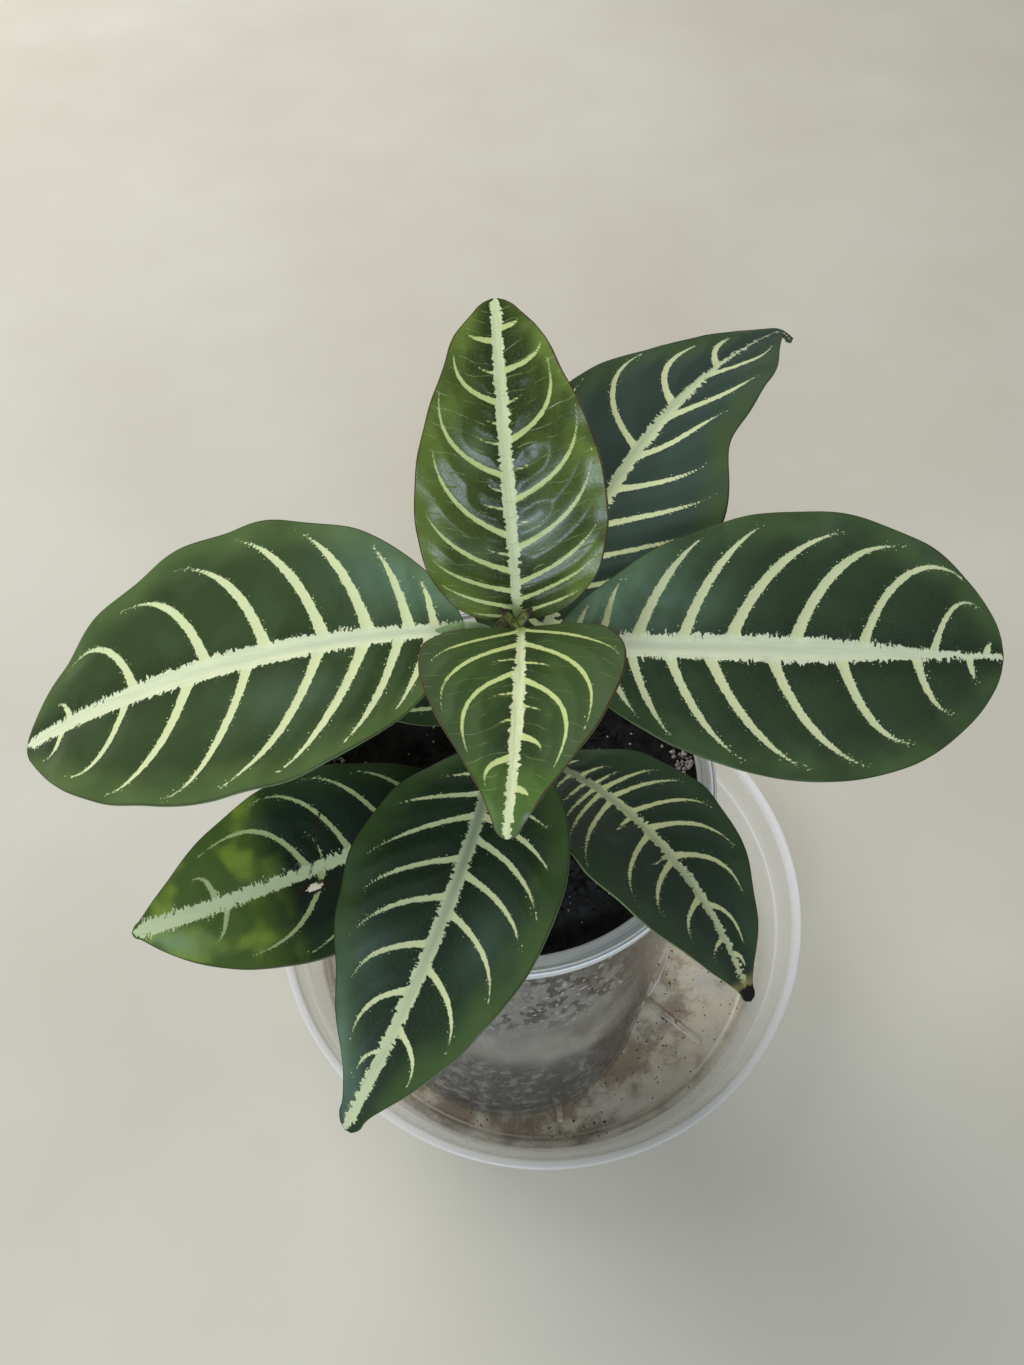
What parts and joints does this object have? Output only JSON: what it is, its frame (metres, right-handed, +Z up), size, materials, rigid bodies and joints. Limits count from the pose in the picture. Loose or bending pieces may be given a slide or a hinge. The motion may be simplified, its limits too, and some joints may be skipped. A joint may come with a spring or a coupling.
{
  "type": "potted aphelandra plant",
  "caption": "Young foliage house plant with broad dark green leaves and pale feathered veins, in a clear round pot standing off centre in a wide clear saucer.",
  "frame": {"origin": "middle of the saucer's flat underside, on the surface it stands on", "axes": "+Z up, +Y to the back of the plant, +X to its right"},
  "size_m": [0.2072, 0.2013, 0.2615],
  "materials": {
    "saucer_plastic": "clear vacuum-formed plastic, scuffed, with brown silt on the floor",
    "pot_plastic": "clear plastic, hazed with condensation and smears",
    "soil": "damp black potting mix with white perlite specks",
    "stem": "green-brown bark, matt",
    "bud": "olive, edged dark brown",
    "leaf_young": "glossy fresh green with fine pale veins",
    "leaf_mature": "satin dark green with cream midrib and side veins"
  },
  "bodies": {
    "root": {"saucer": "saucer_plastic", "pot": "pot_plastic", "soil": "soil", "stem": "stem", "bud": "bud", "leaf_top_back": "leaf_young", "leaf_top_front": "leaf_young", "leaf_left": "leaf_mature", "leaf_right": "leaf_mature", "leaf_back_right": "leaf_mature", "leaf_front": "leaf_mature", "leaf_front_right": "leaf_mature", "leaf_back_left": "leaf_mature", "leaf_low_left": "leaf_mature"}
  },
  "joints": []
}
